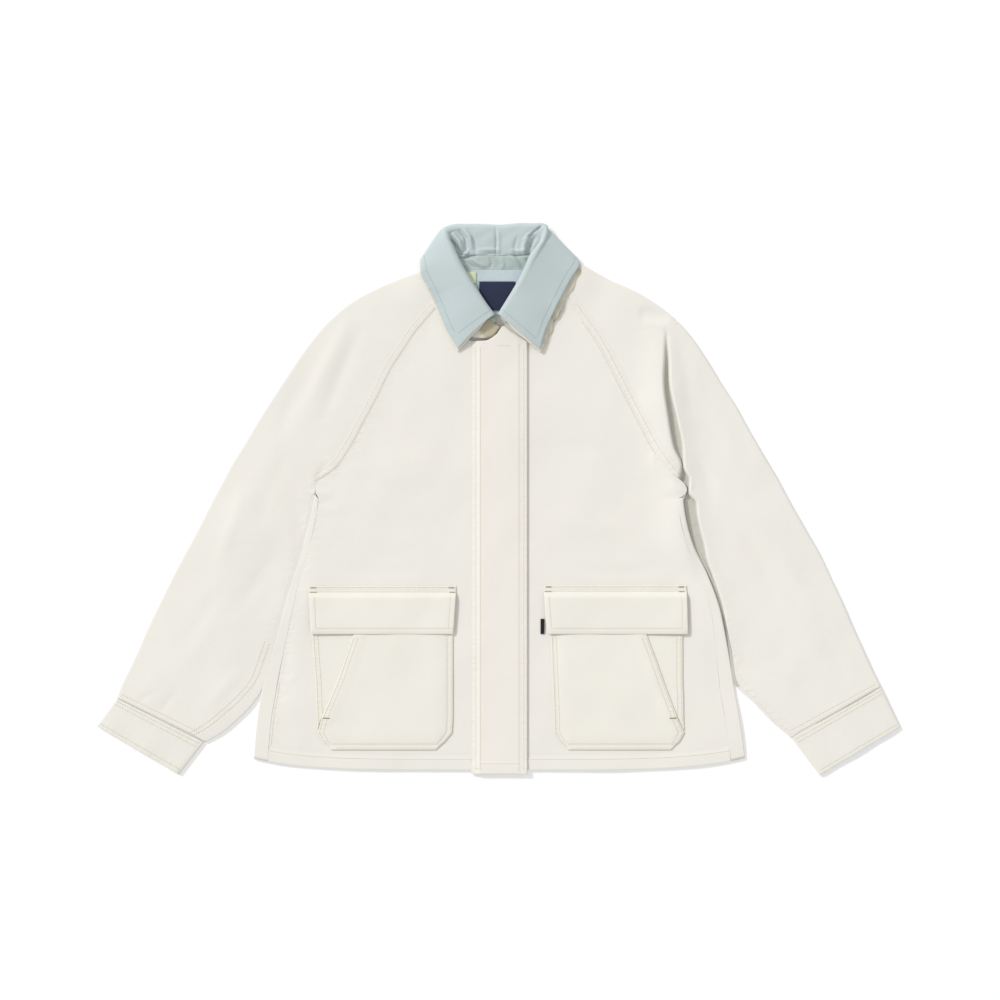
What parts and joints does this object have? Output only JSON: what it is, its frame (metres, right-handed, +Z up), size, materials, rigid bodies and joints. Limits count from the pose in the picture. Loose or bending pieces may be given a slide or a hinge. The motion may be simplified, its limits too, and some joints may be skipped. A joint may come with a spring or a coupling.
{
  "type": "chore jacket",
  "caption": "Boxy cropped canvas chore jacket lying flat, front up: raglan sleeves with cuff bands, turned-down collar, hidden front placket and flapped patch pockets.",
  "frame": {"origin": "bottom centre of the bounding box: the middle of the flat underside that rests on the surface", "axes": "+X across the jacket to the viewer's right, sleeve to sleeve; +Y from hem to collar; +Z up out of the surface, towards the viewer"},
  "size_m": [1.004, 0.6897, 0.0207],
  "materials": {
    "canvas": "undyed heavy cotton canvas, matt",
    "collar": "pale blue-grey cotton, matt",
    "stand": "blue-grey cotton, matt",
    "under": "cream cotton, matt",
    "lining": "pale blue-grey lining cotton, matt",
    "label": "navy woven label, bare",
    "tag": "pale yellow-green printed tape, bare",
    "tab": "black woven tape, bare"
  },
  "bodies": {
    "root": {"back": "canvas", "front_left": "canvas", "front_right": "canvas", "placket": "canvas", "sleeve_left": "canvas", "sleeve_right": "canvas", "cuff_left": "canvas", "cuff_right": "canvas", "pocket_left": "canvas", "pocket_right": "canvas", "pocket_left_side": "canvas", "pocket_right_side": "canvas", "flap_left": "canvas", "flap_right": "canvas", "side_tab": "tab", "collar": "collar", "collar_stand": "stand", "under_collar": "under", "neck_facing": "lining", "neck_label": "label", "size_tag": "tag"}
  },
  "joints": []
}
